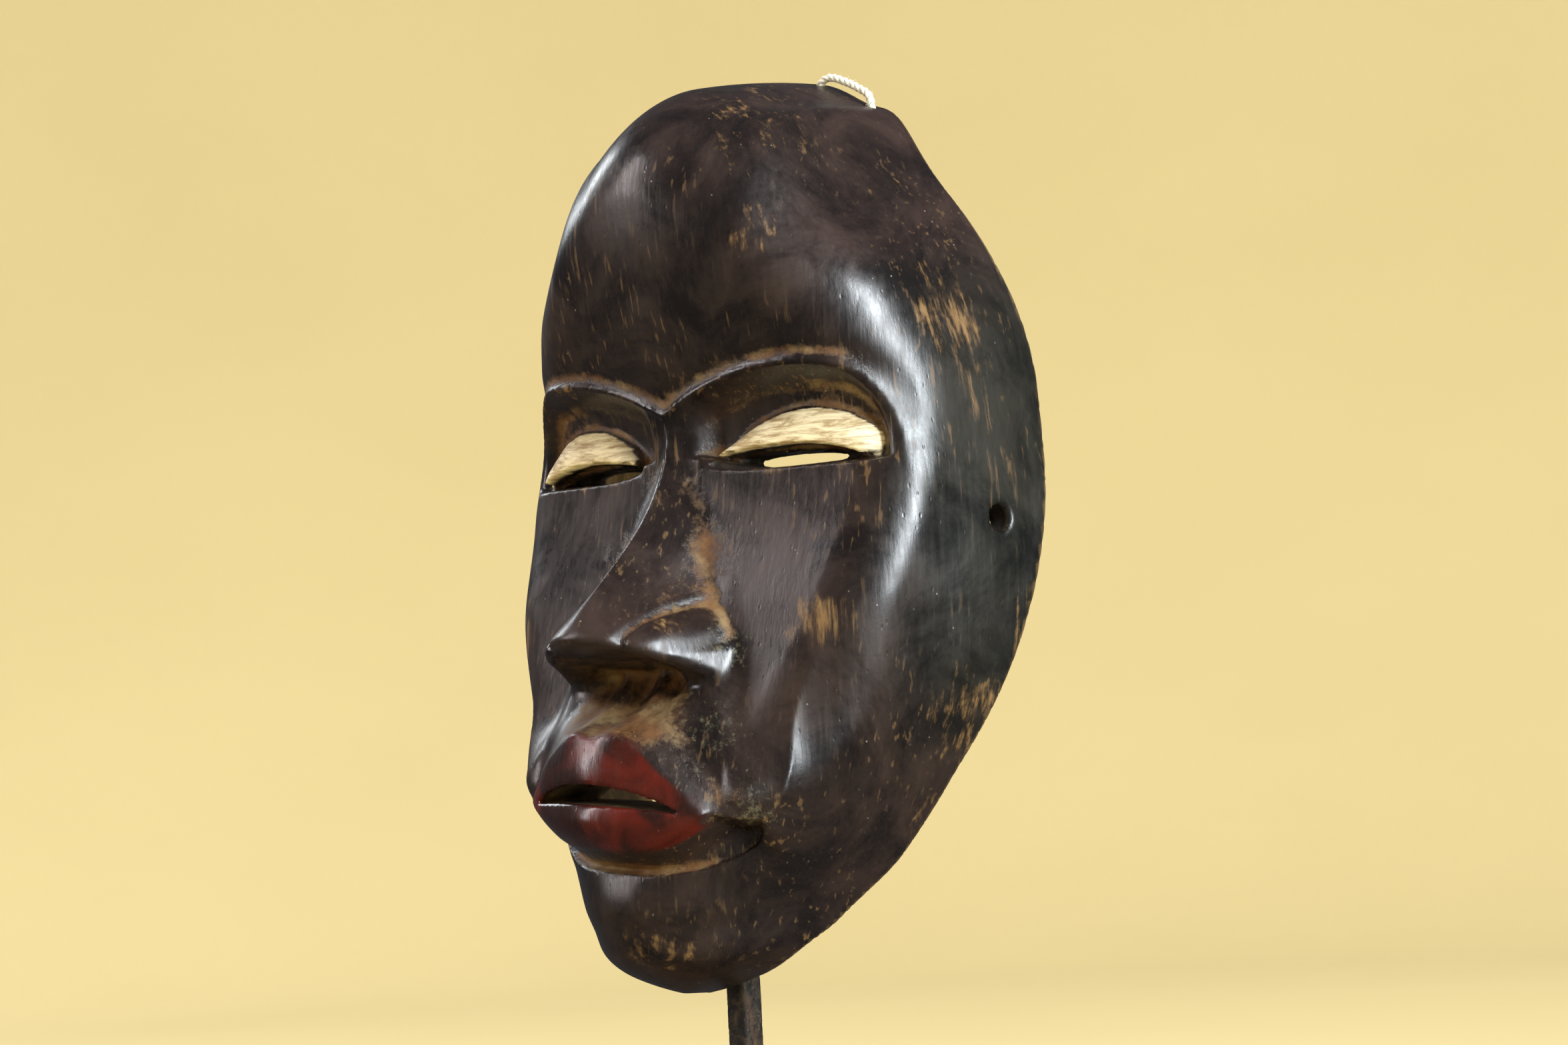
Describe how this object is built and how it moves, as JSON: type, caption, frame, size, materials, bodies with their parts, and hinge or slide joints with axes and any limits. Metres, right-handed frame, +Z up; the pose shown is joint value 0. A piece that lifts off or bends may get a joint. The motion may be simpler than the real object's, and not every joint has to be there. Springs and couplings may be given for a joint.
{
  "type": "carved wooden mask on a stand",
  "caption": "Carved wooden face mask with domed forehead, slit eyes and parted red lips, hollow behind, resting on a square-bar display stand it lifts off.",
  "frame": {"origin": "on the floor under the middle of the stand's base", "axes": "+Z up, the mask faces -Y, its left side is +X"},
  "size_m": [0.1582, 0.134, 0.353],
  "materials": {
    "carved_wood": "dark rubbed patina, semi-gloss",
    "cotton": "twisted cotton cord",
    "lacquered_wood": "black lacquer",
    "iron": "blackened, lightly rusted",
    "screw_steel": "blued",
    "rubber": "matte",
    "felt": "felt"
  },
  "bodies": {
    "stand": {"base": "lacquered_wood", "post": "iron", "arm": "iron", "stop_rod": "iron", "stop_sleeve": "rubber", "sleeve_left": "rubber", "sleeve_right": "rubber", "arm_screw": "screw_steel", "base_screw": "screw_steel", "foot_front_left": "felt", "foot_front_right": "felt", "foot_back_left": "felt", "foot_back_right": "felt"},
    "mask": {"mask": "carved_wood", "hanging_cord": "cotton"}
  },
  "joints": [
    {"name": "lift_off", "type": "slide", "parent": "stand", "child": "mask", "axis": [0, 0, 1], "range_m": [0, 0.015]}
  ]
}
